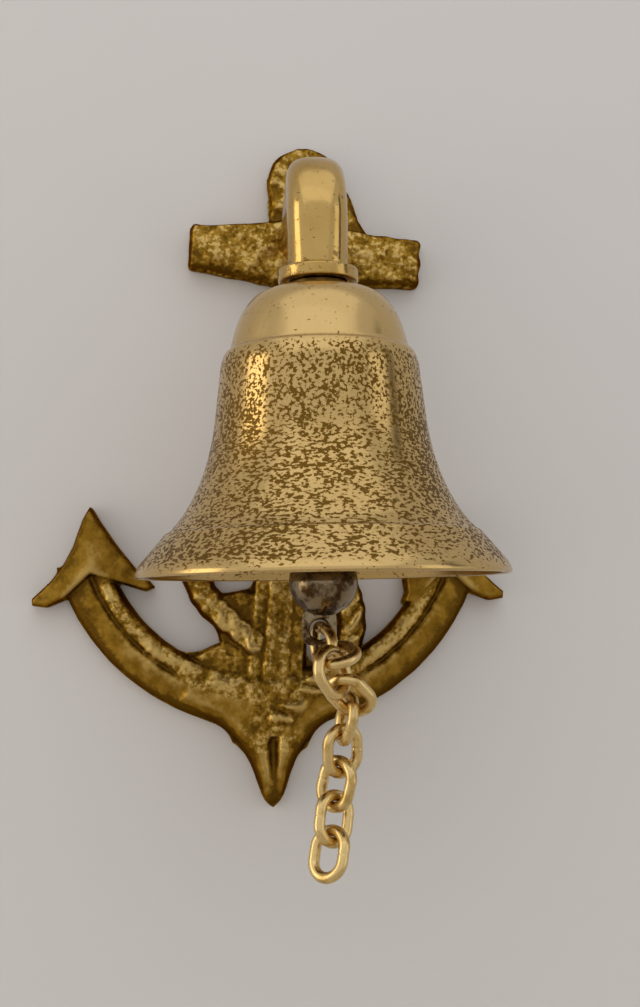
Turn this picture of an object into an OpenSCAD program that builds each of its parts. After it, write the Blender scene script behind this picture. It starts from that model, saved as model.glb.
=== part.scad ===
// Wall-mounted ship bell on an anchor plaque.
// Frame: +Z up along the hanging bell's axis, the wall is the plane y = 0,
// the front faces -Y, and the origin is the centre of the hanging hole.

/* [Plaque] */
// height of the anchor from the top of the ring to the crown's tip
plaque_h = 160; // [155:1:165]
// thickness of the flat ground layer of the casting
base_t = 3.6; // [3:0.1:4.5]
// thickness at the raised bands of the arms, the shank and the stock
raised_t = 5.6; // [5:0.1:6.5]
// radius of the ring at the top
ring_r = 9; // [8:0.1:10]
// diameter of the hanging hole
hang_d = 5; // [4.5:0.1:5.2]
// length of the stock, the crossbar
stock_l = 57.5; // [56:0.5:59]
// outer radius of the two arms
arm_ro = 52.5; // [52:0.1:53]
// inner radius of the two arms
arm_ri = 40.2; // [39.5:0.1:41]

/* [Bracket] */
// diameter of the bracket arm
arm_d = 12.5; // [12:0.1:13]
// distance from the wall to the bell's axis
reach = 52; // [50:1:54]
// radius of the bend, on the arm's centreline
bend_r = 9; // [8.5:0.1:9.5]
// height of the arm's centreline
arm_z = -14.5; // [-15:0.1:-14]
// diameter of the collar under the arm
collar_d = 16.6; // [16:0.1:18]
// thickness of the collar
collar_t = 2.7; // [2.4:0.1:3]

/* [Bell] */
// diameter of the bell's mouth
mouth_d = 76; // [75:0.5:77]
// height of the bell from the mouth to the crown
bell_h = 59; // [58.5:0.5:60]
// wall thickness of the bell
wall = 1.5; // [1.3:0.1:1.7]

/* [Clapper] */
// diameter of the clapper's ball
ball_d = 14; // [13:0.1:14]
// diameter of the clapper's rod
rod_d = 2.6; // [2.4:0.1:2.8]
// height of the ball's centre below the mouth of the bell
ball_drop = 1; // [0:0.5:2]
// diameter of the hole in the flattened end of the rod
tab_hole_d = 4; // [3.9:0.1:4.1]

/* [Chain] */
// outer length of one link
link_l = 11.6; // [11.5:0.1:11.7]
// outer width of one link
link_w = 9.2; // [9.1:0.1:9.3]
// diameter of the links' wire
wire_d = 2.3; // [2.1:0.1:2.3]

/* [Hidden] */
$fn = 64;
eps = 0.01;

// the anchor's own axis: the arms stand on x = arms_x, and the shank leans to the origin
arms_x = -9.8;
arms_z = -80;
crown_z = ring_r - plaque_h;
shank_lean = atan(-arms_x / 125);
stock_z = -17.6;

// heights along the hanging axis
collar_top = -34.6;
collar_bottom = collar_top - collar_t;
seat_t = 1.5;
washer_t = 0.8;
crown_top = collar_bottom - seat_t;
rim_z = crown_top - bell_h;
ball_z = rim_z - ball_drop;
bolt_d = 4;
bend_z = arm_z - bend_r;
nut_h = 3.2;
nut_af = 7;

// the eye under the crown and the clapper's own loop, both of bent wire
eye_r = 3.4;
eye_wire = 2;
eye_z = -48;
swing_z = eye_z - eye_r;
loop_r = 3;
loop_top = swing_z + eye_wire / 2 + rod_d / 2 + 0.06;

// the flattened end of the rod
tab_x = -1;
tab_w = 7;
tab_t = 1.8;
tab_hole_z = -108.5;
tab_bottom = -111.7;

// chain geometry: radius of a link's ends and its straight length
end_r = (link_w - wire_d) / 2;
straight = link_l - link_w;
hang_gap = 0.1;
first_bar_z = -111.05;
first_lift = 2.5;

// each link's three angles against the link above: round its end, about its wire, twist
link_pose = [
    [-50.5, -65, 141.5],
    [1, 4.5, 72.5],
    [-60, -111.5, 97],
    [3.5, 9, 108],
    [50, -9.5, 105.5],
    [24, -11, 107.5],
    [-16.5, 0, 108.5],
    [-17.5, -12, 74.5],
    [3, -1, 108]
];

brass_dark = [0.52, 0.41, 0.18];
brass_light = [0.80, 0.68, 0.42];
brass_bright = [0.86, 0.74, 0.45];
steel = [0.62, 0.60, 0.56];

// points along an arc, centre [x, z], from angle a to angle b
function arc(x, z, r, a, b, n = 10) =
    [for (i = [0:n]) let (t = a + (b - a) * i / n) [x + r * cos(t), z + r * sin(t)]];

still = [[1, 0, 0, 0], [0, 1, 0, 0], [0, 0, 1, 0], [0, 0, 0, 1]];
function shift(m, v) = m * [[1, 0, 0, v[0]], [0, 1, 0, v[1]], [0, 0, 1, v[2]], [0, 0, 0, 1]];
function turn_x(m, a) = m * [[1, 0, 0, 0], [0, cos(a), -sin(a), 0], [0, sin(a), cos(a), 0], [0, 0, 0, 1]];
function turn_y(m, a) = m * [[cos(a), 0, sin(a), 0], [0, 1, 0, 0], [-sin(a), 0, cos(a), 0], [0, 0, 0, 1]];
function turn_z(m, a) = m * [[cos(a), -sin(a), 0, 0], [sin(a), cos(a), 0, 0], [0, 0, 1, 0], [0, 0, 0, 1]];

// placement of link k: it hangs from the wire at the lower end of link k - 1
function contact(k) = k == 0
    ? turn_y(shift(still, [tab_x, -reach, first_bar_z]), link_pose[0][0])
    : shift(turn_y(shift(link_place(k - 1), [0, 0, -end_r - straight]), link_pose[k][0]), [0, 0, -end_r]);
function link_place(k) =
    shift(turn_z(turn_x(contact(k), link_pose[k][1]), link_pose[k][2]),
        [0, 0, k == 0 ? first_lift : wire_d + hang_gap]);

// draws a flat outline in the wall plane, raised from y = -from to y = -to
module relief(from, to) {
    translate([0, -from, 0])
        rotate([90, 0, 0])
            linear_extrude(to - from)
                children();
}

// the crown and one arm, for +x about the anchor's axis, from the tip round to the shank
arm_half = concat(
    [[0, crown_z]],
    arc(22.5, -147.5, 18.8, 186, 117, 8),
    arc(0, arms_z, arm_ro, -73, -27, 10),
    arc(0, arms_z, arm_ri, -35, -62, 8),
    arc(13.5, -109, 6, 285, 205, 5),
    [[0, -104]]
);

module arms_outline() {
    polygon(concat(arm_half, [for (i = [len(arm_half) - 2:-1:1]) [-arm_half[i][0], arm_half[i][1]]]));
}

// fluke outline for +x about the anchor's axis, with the inner barb at (bx, bz)
module fluke_outline(bx, bz) {
    polygon([
        [42.8, -79], [44.9, -82], [47.2, -89], [49.6, -93.5], [52.6, -97.2],
        [56.6, -100.8], [56.4, -102.4], [53, -103.2], [47.6, -103], [44, -106],
        [34, -106], [bx + 4, bz - 2.6], [bx, bz], [31.5, -94.5], [36, -89.3], [40.6, -82.6]
    ]);
}

// a roof with its ridge over x = 0: the two facets of a fluke, and of the crown
module roof(half_w, edge_t, ridge_t, from, to) {
    translate([0, 0, from])
        linear_extrude(to - from)
            polygon([[-half_w, 0], [-half_w, -edge_t], [0, -ridge_t], [half_w, -edge_t], [half_w, 0]]);
}

// a fluke is its outline under a roof that runs down its middle
module fluke(bx, bz) {
    intersection() {
        relief(0, 9)
            fluke_outline(bx, bz);
        translate([42.4, 0, 0])
            roof(16, 1.4, raised_t + 1.6, -106, -78);
    }
}

// the stock's half outline, tapering away from the shank
module stock_outline(edge = 0) {
    polygon([
        [-stock_l / 2 + edge, 5.2 - edge], [-14, 6.4 - edge], [-9, 8 - edge], [9, 8 - edge],
        [14, 6.4 - edge], [stock_l / 2 - edge, 5 - edge], [stock_l / 2 - edge, -4.8 + edge],
        [14, -6.8 + edge], [9, -8 + edge], [-9, -8 + edge], [-14, -6.8 + edge],
        [-stock_l / 2 + edge, -5.8 + edge]
    ]);
}

// the sideways direction of a path at its point i, and a band of width w along the path
function sideways(p, i) =
    let (d = p[min(i + 1, len(p) - 1)] - p[max(i - 1, 0)]) [-d[1], d[0]] / norm(d);

module rope_band(p, w) {
    polygon(concat(
        [for (i = [0:len(p) - 1]) p[i] + sideways(p, i) * w / 2],
        [for (i = [len(p) - 1:-1:0]) p[i] - sideways(p, i) * w / 2]
    ));
}

// the rope's path: round the shank, out past it on the left, and across the crown
rope_low = [
    [-12, -134], [-5, -127.5], [3, -120.5], [8.6, -113], [9.6, -105], [6, -95],
    [-2, -86], [-12, -81], [-22, -83.5], [-27.6, -91], [-25.6, -100.5], [-19, -107.5], [-14, -112]
];
rope_high = [[4.5, -27], [8, -38], [6, -50], [-1, -61], [-8, -71], [-12, -81]];

// metal left between the rope's left bight and the shank
web = [[-24, -102], [-22, -100.4], [-16.5, -99.6], [-12, -100.5], [-12, -121], [-24, -121], [-29, -115], [-22, -112]];

module anchor_plaque() {
    color(brass_dark)
    difference() {
        union() {
            // arms, flukes and crown, about the anchor's own axis
            translate([arms_x, 0, 0]) {
                relief(0, base_t)
                    arms_outline();
                fluke(33, -101.5);
                mirror([1, 0, 0])
                    fluke(28, -98.6);
                // raised inner band of both arms
                relief(base_t - eps, raised_t)
                    polygon(concat(
                        arc(0, arms_z, 50, -145, -35, 24),
                        arc(0, arms_z, 42, -40, -140, 24)
                    ));
                // the crown's ridge runs down to the tip
                intersection() {
                    relief(0, 9)
                        arms_outline();
                    roof(14, 1, raised_t + 0.6, crown_z, -127);
                }
            }
            // shank, leaning to meet the stock
            relief(0, base_t)
                polygon([[arms_x - 5, -131], [arms_x + 9, -131], [7, -14], [-6.5, -14]]);
            relief(base_t - eps, raised_t)
                polygon([[arms_x - 1.8, -131], [arms_x + 6.4, -131], [4.6, -20], [-4.2, -20]]);
            // stock
            translate([0, 0, stock_z])
                rotate([0, shank_lean, 0]) {
                    relief(0, raised_t - 1) stock_outline();
                    relief(raised_t - 1 - eps, raised_t) stock_outline(1.4);
                }
            // ring and its neck
            relief(0, raised_t - 1) {
                circle(r = ring_r);
                polygon([[-8.8, 1.8], [-8.6, -9], [-10, -12], [15, -13], [12, -7], [8.8, 1.8]]);
            }
            relief(0, base_t)
                polygon(web);
            // rope in two steps, wide and low, then narrow and high
            relief(0, raised_t + 0.2)
                rope_band(rope_low, 7);
            relief(raised_t + 0.2 - eps, raised_t + 1.4)
                rope_band(rope_low, 4.4);
            relief(0, raised_t + 0.2)
                rope_band(rope_high, 7);
            relief(raised_t + 0.2 - eps, raised_t + 1.4)
                rope_band(rope_high, 4.4);
        }
        // hanging hole
        rotate([90, 0, 0])
            translate([0, 0, -1])
                cylinder(d = hang_d, h = 12);
        // clearance hole and countersink for the arm's screw
        translate([0, 1, arm_z])
            rotate([90, 0, 0])
                cylinder(d = 5.4, h = 12);
        translate([0, 0.01, arm_z])
            rotate([90, 0, 0])
                cylinder(d1 = 10.2, d2 = 5.2, h = 2.5);
        // pocket that seats the foot of the bracket arm
        translate([0, -raised_t + 1, arm_z])
            rotate([90, 0, 0])
                cylinder(d = arm_d, h = 4);
    }
}

module bracket_arm() {
    color(brass_light)
    difference() {
        union() {
            // straight part, from its seat in the stock
            translate([0, -raised_t + 1, arm_z])
                rotate([90, 0, 0])
                    cylinder(d = arm_d, h = reach - bend_r - raised_t + 1 + eps);
            // quarter bend
            translate([0, -reach + bend_r, bend_z])
                rotate([0, -90, 0])
                    rotate([0, 0, -90])
                        rotate_extrude(angle = 90)
                            translate([bend_r, 0])
                                circle(d = arm_d);
            // leg down to the collar
            translate([0, -reach, collar_top])
                cylinder(d = arm_d, h = bend_z - collar_top + eps);
        }
        // tapped hole for the screw from behind
        translate([0, 0, arm_z])
            rotate([90, 0, 0])
                cylinder(d = 5, h = 24);
        // tapped hole for the eye bolt from below
        translate([0, -reach, collar_top - 1])
            cylinder(d = bolt_d, h = 13);
    }
}

module arm_screw() {
    color(steel)
    difference() {
        union() {
            translate([0, -0.3, arm_z])
                rotate([90, 0, 0])
                    cylinder(d = 5, h = 21.7);
            translate([0, -0.3, arm_z])
                rotate([90, 0, 0])
                    cylinder(d1 = 9.4, d2 = 5, h = 2.2);
        }
        translate([-6, -1.1, arm_z - 0.5])
            cube([12, 2, 1]);
    }
}

module collar() {
    color(brass_light)
    translate([0, -reach, collar_bottom])
        rotate_extrude()
            polygon([
                [bolt_d / 2, 0], [collar_d / 2 - 0.4, 0], [collar_d / 2, 0.4],
                [collar_d / 2, collar_t - 0.4], [collar_d / 2 - 0.4, collar_t], [bolt_d / 2, collar_t]
            ]);
}

module crown_washer() {
    color(brass_dark)
    translate([0, -reach, crown_top])
        difference() {
            cylinder(d = 12, h = seat_t);
            translate([0, 0, -1])
                cylinder(d = bolt_d, h = 4);
        }
}

// the bell is turned: outer profile up from the lip, inner profile back down
module bell() {
    r = mouth_d / 2;
    outer = [
        [r, 0], [r, 0.7], [r - 0.8, 2], [34.8, 4.8], [32.2, 7.3], [31.6, 8], [30, 9.9],
        [27.3, 14.1], [24.9, 18.9], [22.9, 24.7], [21.7, 30.4], [21, 36.2], [20.5, 41],
        [19.9, 43.8], [18.9, 45.2], [18.5, 45.8], [17.6, 49.3], [16.6, 52.5], [14.7, 55.5],
        [12.1, 57.4], [8.5, 58.6], [5, bell_h], [bolt_d / 2, bell_h]
    ];
    inner = [
        [bolt_d / 2, bell_h - wall], [6, bell_h - wall], [10.8, 56.2], [13.4, 54.4],
        [15.1, 51.8], [16, 48.8], [17.1, 45], [18.4, 43.2], [19, 41], [19.5, 36.2],
        [20.2, 30.4], [21.4, 24.4], [23.4, 18.3], [25.8, 13.4], [28.6, 9.2], [33.4, 3.9],
        [36, 1.4], [r - 0.9, 0]
    ];
    color(brass_light)
    translate([0, -reach, rim_z])
        rotate_extrude()
            polygon(concat(outer, inner));
}

module inner_washer() {
    color(brass_dark)
    translate([0, -reach, crown_top - wall - washer_t])
        difference() {
            cylinder(d = 10, h = washer_t);
            translate([0, 0, -1])
                cylinder(d = bolt_d, h = 4);
        }
}

module crown_nut() {
    color(steel)
    translate([0, -reach, crown_top - wall - washer_t - nut_h])
        difference() {
            cylinder(d = nut_af / cos(30), h = nut_h, $fn = 6);
            translate([0, 0, -1])
                cylinder(d = bolt_d, h = nut_h + 2);
        }
}

module eye_bolt() {
    color(steel)
    translate([0, -reach, 0]) {
        translate([0, 0, eye_z + eye_r])
            cylinder(d = bolt_d, h = collar_top + 9 - eye_z - eye_r);
        translate([0, 0, eye_z])
            rotate([0, 90, 0])
                rotate_extrude()
                    translate([eye_r, 0])
                        circle(d = eye_wire);
    }
}

module clapper_rod() {
    color(steel)
    translate([0, -reach, 0]) {
        // loop that hangs in the eye
        translate([0, 0, loop_top - loop_r])
            rotate([90, 0, 0])
                rotate_extrude()
                    translate([loop_r, 0])
                        circle(d = rod_d);
        // straight rod down through the ball
        translate([0, 0, ball_z - ball_d / 2 - 0.6])
            cylinder(d = rod_d, h = loop_top - loop_r * 2 - ball_z + ball_d / 2 + 0.6);
        // flattened end with its hole for the chain
        difference() {
            translate([0, tab_t / 2, 0])
                rotate([90, 0, 0])
                    linear_extrude(tab_t) {
                        translate([tab_x - tab_w / 2, tab_bottom + 2])
                            square([tab_w, 5.4]);
                        translate([tab_x - tab_w / 2 + 2, tab_bottom])
                            square([tab_w - 4, 4]);
                        for (x = [tab_x - tab_w / 2 + 2, tab_x + tab_w / 2 - 2])
                            translate([x, tab_bottom + 2])
                                circle(r = 2);
                    }
            translate([0, 0, ball_z])
                sphere(d = ball_d + 0.04);
            translate([tab_x, 5, tab_hole_z])
                rotate([90, 0, 0])
                    cylinder(d = tab_hole_d, h = 10);
        }
    }
}

module clapper_ball() {
    color(steel)
    translate([0, -reach, ball_z])
        difference() {
            sphere(d = ball_d);
            translate([0, 0, -ball_d])
                cylinder(d = rod_d, h = ball_d * 2);
        }
}

// one oval link; its top wire's centre is the origin and it hangs down
module link() {
    for (end = [0, 1])
        translate([0, 0, -end_r - end * straight])
            rotate([90, end * 180, 0])
                rotate_extrude(angle = 180)
                    translate([end_r, 0])
                        circle(d = wire_d);
    for (side = [-1, 1])
        translate([side * end_r, 0, -end_r - straight])
            cylinder(d = wire_d, h = straight);
}

module placed_link(k) {
    color(brass_bright)
    multmatrix(link_place(k))
        link();
}

module chain_link_1() { placed_link(0); }
module chain_link_2() { placed_link(1); }
module chain_link_3() { placed_link(2); }
module chain_link_4() { placed_link(3); }
module chain_link_5() { placed_link(4); }
module chain_link_6() { placed_link(5); }
module chain_link_7() { placed_link(6); }
module chain_link_8() { placed_link(7); }
module chain_link_9() { placed_link(8); }

anchor_plaque();
bracket_arm();
arm_screw();
collar();
crown_washer();
bell();
inner_washer();
crown_nut();
eye_bolt();
clapper_rod();
clapper_ball();
chain_link_1();
chain_link_2();
chain_link_3();
chain_link_4();
chain_link_5();
chain_link_6();
chain_link_7();
chain_link_8();
chain_link_9();
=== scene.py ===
# %% [markdown]
# # A wall-mounted ship bell on an anchor plaque
#
# A turned brass bell hangs from a round bracket arm that grows out of a cast fouled anchor. A steel clapper
# swings inside it, and a short chain hangs from the clapper as the pull. The CAD model gives every place and
# size, and this notebook makes the surfaces: each one is a numpy formula on a grid, in millimetres, turned
# into a mesh in metres.

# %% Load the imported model
import math

import bpy
import numpy as np
from mathutils import Matrix, Vector


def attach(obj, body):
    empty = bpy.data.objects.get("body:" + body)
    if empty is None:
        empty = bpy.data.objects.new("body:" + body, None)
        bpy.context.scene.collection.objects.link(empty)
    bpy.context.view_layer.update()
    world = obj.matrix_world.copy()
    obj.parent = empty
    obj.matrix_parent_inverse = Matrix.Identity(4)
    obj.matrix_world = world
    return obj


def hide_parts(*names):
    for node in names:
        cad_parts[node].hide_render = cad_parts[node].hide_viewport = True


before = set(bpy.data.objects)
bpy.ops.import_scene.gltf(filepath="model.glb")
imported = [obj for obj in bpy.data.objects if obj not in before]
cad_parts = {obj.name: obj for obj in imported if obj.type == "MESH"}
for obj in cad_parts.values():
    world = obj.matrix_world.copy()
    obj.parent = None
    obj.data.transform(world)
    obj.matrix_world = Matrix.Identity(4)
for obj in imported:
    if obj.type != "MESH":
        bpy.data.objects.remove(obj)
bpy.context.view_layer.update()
MM = 0.001

# %% [markdown]
# ## From a formula to a mesh
#
# Every new piece comes from whole arrays: a grid of points, closed round one way or both, whose quads are
# found by index arithmetic. `lathe` turns a profile round the hanging axis, and `sweep` carries a round
# section along a path with frames that never twist.

# %% Mesh helpers
AXIS_Y = -52.0          # the hanging axis stands this far in front of the wall


def make_mesh(name, verts, quads, mat, body, nodes=(), tris=None, smooth=True):
    """A mesh object from points in millimetres and quads, riding on a body and standing for CAD nodes."""
    me = bpy.data.meshes.new(name)
    faces = [tuple(q) for q in np.asarray(quads, int).tolist()]
    if tris is not None:
        faces += [tuple(t) for t in np.asarray(tris, int).tolist()]
    me.from_pydata((np.asarray(verts, float) * MM).tolist(), [], faces)
    me.validate()
    me.update()
    me.polygons.foreach_set("use_smooth", [smooth] * len(me.polygons))
    ob = bpy.data.objects.new(name, me)
    bpy.context.scene.collection.objects.link(ob)
    me.materials.append(mat)
    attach(ob, body)
    if nodes:
        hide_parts(*nodes)
    return ob


def grid_quads(rows, cols, wrap_rows=False, wrap_cols=True):
    """Quads of a rows x cols grid of points stored row by row, joined round where asked."""
    r = np.arange(rows if wrap_rows else rows - 1)
    c = np.arange(cols if wrap_cols else cols - 1)
    R, C = np.meshgrid(r, c, indexing="ij")
    a = R * cols + C
    b = R * cols + (C + 1) % cols
    d = ((R + 1) % rows) * cols + C
    e = ((R + 1) % rows) * cols + (C + 1) % cols
    return np.stack([a, b, e, d], -1).reshape(-1, 4)


print("mesh builder ready")

# %% Curves and turned forms


def spline(points, n):
    """n points along the natural cubic through the given points, evenly spaced by length."""
    P = np.asarray(points, float)
    t = np.r_[0, np.cumsum(np.linalg.norm(np.diff(P, axis=0), axis=1))]
    h = np.diff(t)
    m = len(P)
    A = np.eye(m)
    B = np.zeros_like(P)
    i = np.arange(1, m - 1)
    A[i, i - 1], A[i, i], A[i, i + 1] = h[:-1], 2 * (h[:-1] + h[1:]), h[1:]
    B[1:-1] = 6 * ((P[2:] - P[1:-1]) / h[1:, None] - (P[1:-1] - P[:-2]) / h[:-1, None])
    M = np.linalg.solve(A, B)
    s = np.linspace(0, t[-1], n)
    k = np.clip(np.searchsorted(t, s, side="right") - 1, 0, m - 2)
    u, v, hk = (s - t[k])[:, None], (t[k + 1] - s)[:, None], h[k][:, None]
    return (M[k] * v**3 + M[k + 1] * u**3) / (6 * hk) + (P[k] / hk - M[k] * hk / 6) * v + (
        P[k + 1] / hk - M[k + 1] * hk / 6) * u


def lathe(profile, base_z, segs=192, wobble=0.0, centre=(0.0, AXIS_Y)):
    """Points of a closed profile (radius, height) turned round a vertical axis; radius varies by wobble."""
    a = np.linspace(0, 2 * np.pi, segs, endpoint=False)
    r, z = np.asarray(profile, float).T
    rr = r[:, None] * (1 + wobble * np.sin(2 * a + 0.6)[None])
    x = centre[0] + rr * np.cos(a)[None]
    y = centre[1] + rr * np.sin(a)[None]
    return np.stack([x, y, np.broadcast_to((base_z + z)[:, None], x.shape)], -1).reshape(-1, 3)


print("spline and lathe ready")

# %% Wire and bar along a path


def sweep(path, radius, segs=32, closed=False, start=(0.3, 0.5, 0.81), square=2.0):
    """Points of a section carried along a path; its frame is turned as little as possible.

    The section is a superellipse: a circle where square is 2, and a rounded square as it grows.
    """
    P = np.asarray(path, float)
    T = np.roll(P, -1, 0) - np.roll(P, 1, 0) if closed else np.gradient(P, axis=0)
    T /= np.linalg.norm(T, axis=1)[:, None]
    n = np.array(start, float)
    N = np.empty_like(P)
    for i, t in enumerate(T):
        n = n - t * (n @ t)
        n /= np.linalg.norm(n)
        N[i] = n
    B = np.cross(T, N)
    if closed:
        gap = math.atan2(N[0] @ B[-1], N[0] @ N[-1])
        w = gap * np.linspace(0, 1, len(P))[:, None]
        N, B = N * np.cos(w) + B * np.sin(w), B * np.cos(w) - N * np.sin(w)
    a = np.linspace(0, 2 * np.pi, segs, endpoint=False)
    k = np.broadcast_to(np.asarray(square, float), (len(P),))[:, None]
    R = np.broadcast_to(np.asarray(radius, float), (len(P),))[:, None]
    R = (R * (np.abs(np.cos(a)) ** k + np.abs(np.sin(a)) ** k) ** (-1 / k))[..., None]
    ring = N[:, None] * np.cos(a)[None, :, None] + B[:, None] * np.sin(a)[None, :, None]
    return (P[:, None] + R * ring).reshape(-1, 3)


def capped(verts, rows, cols):
    """Adds a centre point at each end of an open tube, and the triangles that close it."""
    first, last = verts[:cols].mean(0), verts[-cols:].mean(0)
    k = np.arange(cols)
    n = len(verts)
    t1 = np.stack([np.full(cols, n), (k + 1) % cols, k], -1)
    base = (rows - 1) * cols
    t2 = np.stack([np.full(cols, n + 1), base + k, base + (k + 1) % cols], -1)
    return np.vstack([verts, first, last]), np.vstack([t1, t2])


print("sweep and end caps ready")

# %% [markdown]
# Sand leaves a casting uneven. A lattice of random values, blended smoothly, gives that unevenness at any
# size, and a fixed seed makes it come out the same each time.

# %% Unevenness of a casting


def lattice_noise(x, z, cell, seed):
    """Smooth noise from -1 to 1: random values on a square lattice, blended with a smoothstep."""
    g = np.random.default_rng(seed).random((256, 256)) * 2 - 1
    u, v = x / cell + 97.3, z / cell + 71.9
    i, j = np.floor(u).astype(int), np.floor(v).astype(int)
    s, t = u - i, v - j
    s, t = s * s * (3 - 2 * s), t * t * (3 - 2 * t)
    i, j = i % 256, j % 256
    k, m = (i + 1) % 256, (j + 1) % 256
    return (g[i, j] * (1 - s) + g[k, j] * s) * (1 - t) + (g[i, m] * (1 - s) + g[k, m] * s) * t


print("noise on a lattice ready")

# %% [markdown]
# ## Brass, steel and tarnish
#
# Brass is one metal here with four faces: the rough casting, dull and olive, rubbed pale where it stands
# proud and painted pale on its rim and walls as painted light; the polished arm; the bell, whose lacquer has
# failed in small dark islands; and the bright plate of the chain. Tarnish is a thresholded noise that lowers
# the colour and raises the roughness together, as an oxide film does.

# %% A short way to write a shader


class Shader:
    """A node tree with a Principled shader, and short calls that add the nodes that feed it."""

    def __init__(self, name, base, rough):
        self.mat = bpy.data.materials.new(name)
        self.mat.use_nodes = True
        self.t = self.mat.node_tree
        self.bsdf = next(n for n in self.t.nodes if n.type == "BSDF_PRINCIPLED")
        self.bsdf.inputs["Base Color"].default_value = (*base, 1)
        self.bsdf.inputs["Roughness"].default_value = rough
        self.bsdf.inputs["Metallic"].default_value = 1.0
        self.coord = self.t.nodes.new("ShaderNodeTexCoord").outputs["Object"]

    def times(self, a, b):
        return self.math("MULTIPLY", a, b)

    def plus(self, a, b):
        return self.math("ADD", a, b)

    def minus(self, a, b):
        return self.math("SUBTRACT", a, b)

    def scaled(self, sx, sy, sz):
        m = self.t.nodes.new("ShaderNodeMapping")
        m.inputs["Scale"].default_value = (sx, sy, sz)
        self.t.links.new(self.coord, m.inputs["Vector"])
        return m.outputs["Vector"]

    def noise(self, scale, detail=4.0, rough=0.55, vector=None):
        n = self.t.nodes.new("ShaderNodeTexNoise")
        n.inputs["Scale"].default_value = scale
        n.inputs["Detail"].default_value = detail
        n.inputs["Roughness"].default_value = rough
        self.t.links.new(vector or self.coord, n.inputs["Vector"])
        return n.outputs["Fac"]

    def ramp(self, src, lo, hi, a=0.0, b=1.0):
        n = self.t.nodes.new("ShaderNodeMapRange")
        n.interpolation_type = "SMOOTHSTEP"
        for k, v in (("From Min", lo), ("From Max", hi), ("To Min", a), ("To Max", b)):
            n.inputs[k].default_value = v
        self.t.links.new(src, n.inputs["Value"])
        return n.outputs["Result"]

    def math(self, op, a, b=0.0):
        n = self.t.nodes.new("ShaderNodeMath")
        n.operation = op
        for i, v in enumerate((a, b)):
            if isinstance(v, (int, float)):
                n.inputs[i].default_value = v
            else:
                self.t.links.new(v, n.inputs[i])
        return n.outputs["Value"]

    def mix(self, fac, a, b):
        n = self.t.nodes.new("ShaderNodeMix")
        n.data_type = "RGBA"
        self.t.links.new(fac, n.inputs["Factor"])
        for i, v in ((6, a), (7, b)):
            if isinstance(v, tuple):
                n.inputs[i].default_value = (*v, 1)
            else:
                self.t.links.new(v, n.inputs[i])
        return n.outputs[2]

    def attribute(self, name):
        n = self.t.nodes.new("ShaderNodeAttribute")
        n.attribute_name = name
        return n.outputs["Fac"]

    def axis(self, which):
        n = self.t.nodes.new("ShaderNodeSeparateXYZ")
        self.t.links.new(self.coord, n.inputs["Vector"])
        return n.outputs[which]

    def feed(self, socket, src):
        self.t.links.new(src, self.bsdf.inputs[socket])

    def bump(self, height, distance, strength):
        n = self.t.nodes.new("ShaderNodeBump")
        n.inputs["Distance"].default_value = distance
        n.inputs["Strength"].default_value = strength
        self.t.links.new(height, n.inputs["Height"])
        self.t.links.new(n.outputs["Normal"], self.bsdf.inputs["Normal"])


print("shader writer ready")

# %% [markdown]
# A sand casting ages in its relief: the high places are rubbed pale, and dirt stays in the low ones. Two
# attributes on the mesh carry this. `relief` says how far a point stands above its surroundings, and on the
# rim, walls and back it holds one raised value that paints them pale, a painted light. `calm` says where the
# casting came out smooth.

# %% Cast brass


def cast_brass():
    """Aged casting: olive brown, rubbed pale where it stands proud, dark in the recesses, and painted pale on
    its rim and walls as painted light.
    """
    s = Shader("cast_brass", (0.30, 0.19, 0.05), 0.4)
    # the sand-cast skin is too rough to mirror at a glancing angle, so its edges keep their own colour
    s.bsdf.inputs["Specular Tint"].default_value = (0.42, 0.26, 0.05, 1)
    relief, calm = s.attribute("relief"), s.attribute("calm")
    grain = s.noise(950, 4, 0.6)
    blotch = s.noise(260, 4, 0.6)
    broad = s.noise(45, 2, 0.5)
    speckle = s.times(s.minus(grain, 0.5), s.ramp(calm, 0, 1, 1.35, 0.30))
    cloud = s.times(s.minus(blotch, 0.5), s.ramp(calm, 0, 1, 0.7, 0.45))
    wear_and_edge_level = s.plus(s.plus(relief, speckle), cloud)
    wear_and_edge_level = s.plus(wear_and_edge_level, s.times(s.minus(broad, 0.5), 0.5))
    # this mask is pale where the casting stands proud and is rubbed, and on the rim and walls, where the
    # raised edge relief paints a painted light
    rub_and_edge_light = s.times(s.ramp(wear_and_edge_level, 0.50, 0.74), s.ramp(calm, 0, 1, 1.0, 0.55))
    low = s.ramp(wear_and_edge_level, 0.24, 0.47)
    body = s.mix(s.ramp(blotch, 0.35, 0.65), (0.225, 0.122, 0.012), (0.335, 0.19, 0.025))
    body = s.mix(low, (0.125, 0.064, 0.008), body)
    s.feed("Base Color", s.mix(rub_and_edge_light, body, (0.57, 0.40, 0.135)))
    s.feed("Roughness", s.plus(s.ramp(rub_and_edge_light, 0, 1, 0.33, 0.26), s.times(grain, 0.14)))
    s.bump(s.plus(s.noise(620, 6, 0.65), s.times(s.noise(1700, 3, 0.6), 0.4)), 0.0004, 0.5)
    return s.mat


print("cast brass written")

# %% [markdown]
# The bell's tarnish is in islands a millimetre across. Round islands on the shoulder give way to islands
# drawn out along the turning lower down, and few of them reach the crown and the lip, where hands polish.

# %% Mottled brass of the bell


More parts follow.
